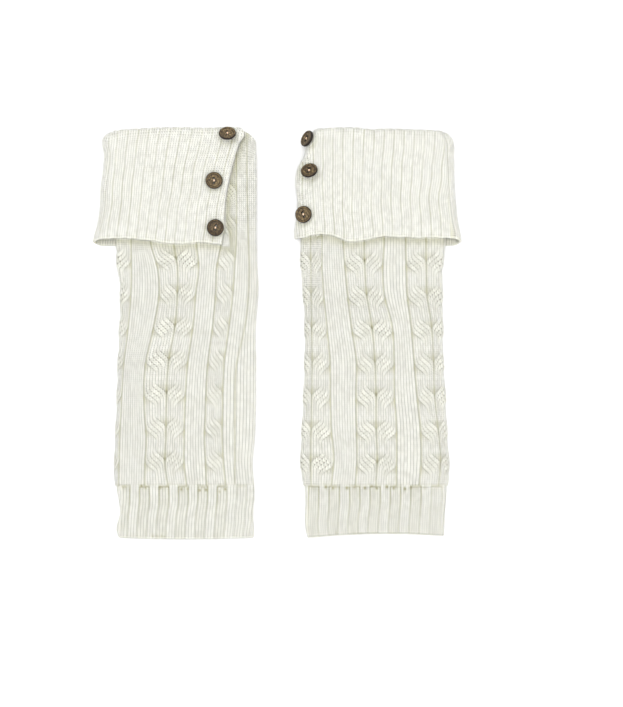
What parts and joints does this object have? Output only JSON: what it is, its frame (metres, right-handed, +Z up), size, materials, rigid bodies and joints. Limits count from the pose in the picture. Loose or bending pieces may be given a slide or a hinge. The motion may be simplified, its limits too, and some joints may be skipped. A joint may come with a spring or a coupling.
{
  "type": "pair of leg warmers",
  "caption": "Cable-knit leg warmers with turned-down ribbed cuffs and coconut buttons, laid flat side by side.",
  "frame": {"origin": "on the table, under the middle of the pair's bounding box", "axes": "+Y along the legs towards the folded cuffs, +X towards the right warmer as seen from above, +Z up off the table"},
  "size_m": [0.3684, 0.413, 0.0278],
  "materials": {
    "ivory_knit": "matt ivory yarn, knitted in cables and ribs, with a soft nap",
    "coconut_shell": "satin brown coconut shell with a darker edge"
  },
  "bodies": {
    "root": {"left_leg": "ivory_knit", "left_ankle_rib": "ivory_knit", "left_cuff": "ivory_knit", "left_button_top": "coconut_shell", "left_button_middle": "coconut_shell", "left_button_bottom": "coconut_shell", "right_leg": "ivory_knit", "right_ankle_rib": "ivory_knit", "right_cuff": "ivory_knit", "right_button_top": "coconut_shell", "right_button_middle": "coconut_shell", "right_button_bottom": "coconut_shell"}
  },
  "joints": []
}
